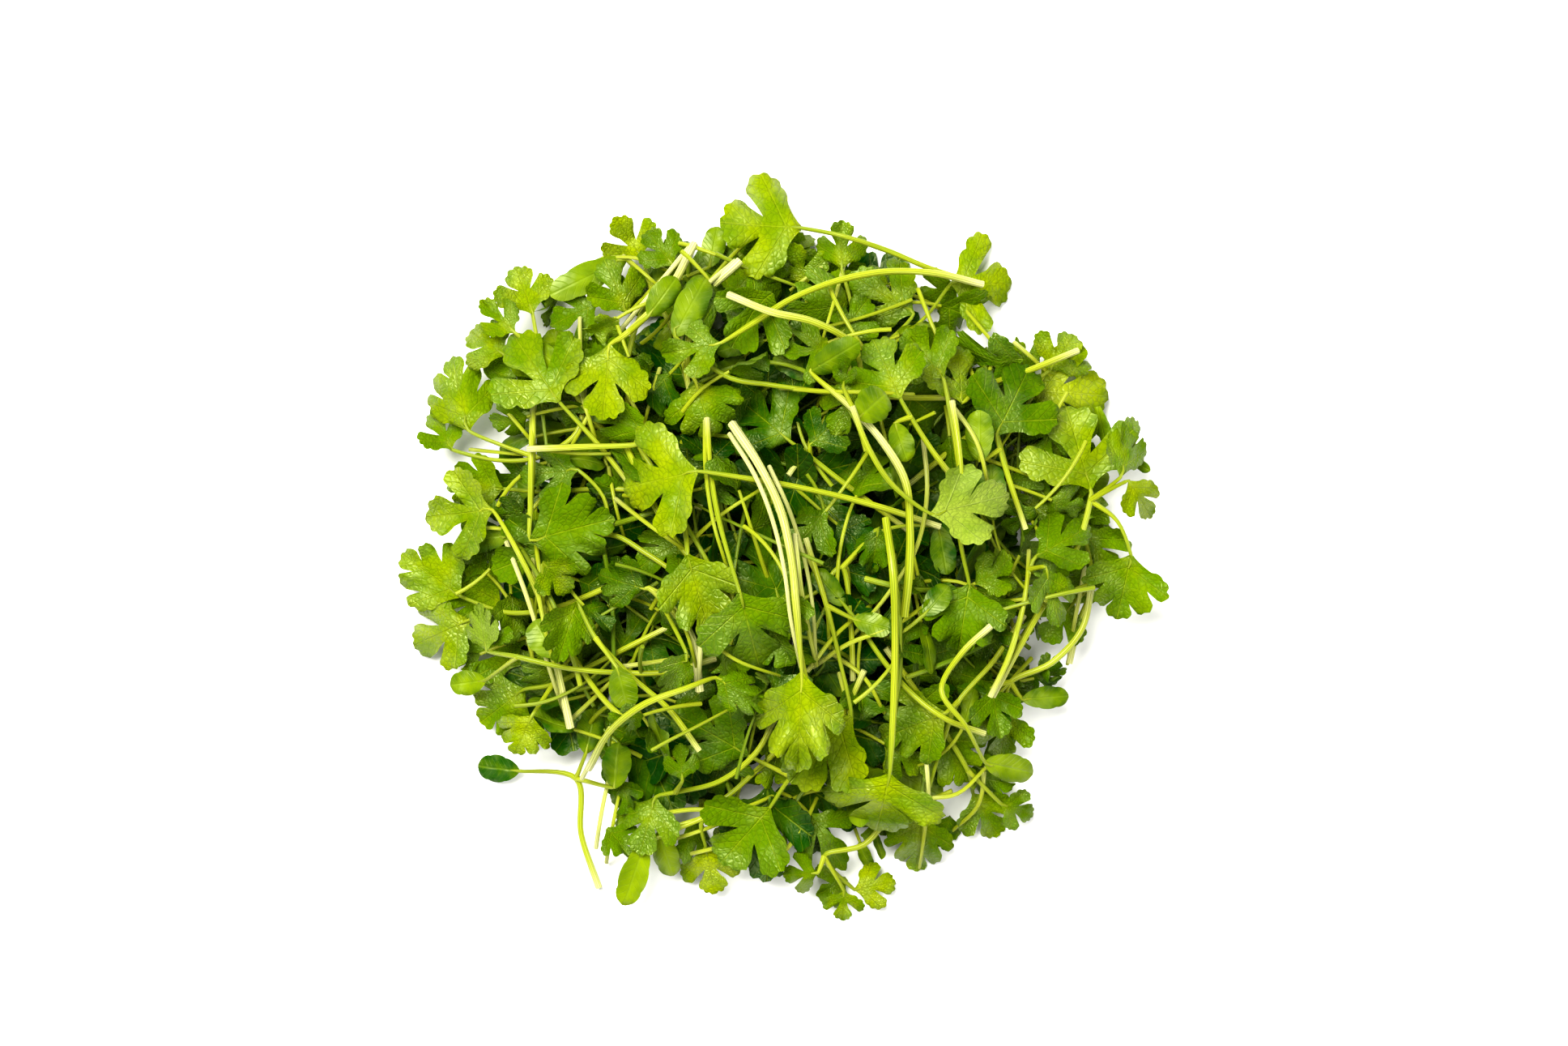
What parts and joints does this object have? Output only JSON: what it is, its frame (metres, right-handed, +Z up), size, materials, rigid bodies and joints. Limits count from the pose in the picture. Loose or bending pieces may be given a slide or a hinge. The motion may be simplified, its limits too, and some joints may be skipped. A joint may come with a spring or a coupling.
{
  "type": "heap of cut celery microgreens",
  "caption": "Loose round heap of cut celery microgreens lying on a flat surface: lobed toothed leaves and smooth seed leaves on long thin tangled stems.",
  "frame": {"origin": "on the surface that the heap lies on, under the middle of its plan", "axes": "+Z up out of the heap, +Y to the top of the picture, +X to its right"},
  "size_m": [0.1446, 0.1402, 0.0438],
  "materials": {
    "deep_sprigs": "satin dark green leaf",
    "rim_sprigs": "satin yellow-green leaf",
    "upper_sprigs": "satin green leaf on pale stems"
  },
  "bodies": {
    "root": {"deep_middle": "deep_sprigs", "deep_north": "deep_sprigs", "deep_south": "deep_sprigs", "deep_south_west": "deep_sprigs", "deep_west": "deep_sprigs", "east_big": "upper_sprigs", "east_dark": "upper_sprigs", "east_drop": "upper_sprigs", "east_leaf": "upper_sprigs", "east_middle": "upper_sprigs", "east_stalk": "upper_sprigs", "east_upper": "upper_sprigs", "foot_middle": "deep_sprigs", "inner_1": "deep_sprigs", "inner_2": "deep_sprigs", "inner_3": "deep_sprigs", "inner_4": "deep_sprigs", "inner_5": "deep_sprigs", "inner_6": "deep_sprigs", "inner_7": "deep_sprigs", "inner_8": "deep_sprigs", "loose_south_west": "rim_sprigs", "middle_bright": "upper_sprigs", "middle_heart": "upper_sprigs", "middle_left": "upper_sprigs", "middle_pale": "upper_sprigs", "middle_thick": "upper_sprigs", "middle_upright": "upper_sprigs", "middle_white": "upper_sprigs", "north_arch": "upper_sprigs", "north_bow": "upper_sprigs", "north_far": "upper_sprigs", "north_long": "upper_sprigs", "north_pale": "upper_sprigs", "north_thick": "upper_sprigs", "rim_east_high": "rim_sprigs", "rim_east_low": "rim_sprigs", "rim_north": "rim_sprigs", "rim_north_left": "rim_sprigs", "rim_north_west": "rim_sprigs", "rim_south": "rim_sprigs", "rim_south_east": "rim_sprigs", "rim_south_east_low": "rim_sprigs", "rim_south_foot": "rim_sprigs", "rim_south_right": "rim_sprigs", "rim_west": "rim_sprigs", "rim_west_high": "rim_sprigs", "rim_west_low": "rim_sprigs", "rim_west_round": "rim_sprigs", "south_bare": "upper_sprigs", "south_slant": "upper_sprigs", "south_yellow": "upper_sprigs", "west_cross": "upper_sprigs", "west_curl": "upper_sprigs", "west_inner": "upper_sprigs", "west_large": "upper_sprigs", "west_long": "upper_sprigs", "west_pale_pair": "upper_sprigs", "west_round": "upper_sprigs", "west_stump": "upper_sprigs"}
  },
  "joints": []
}
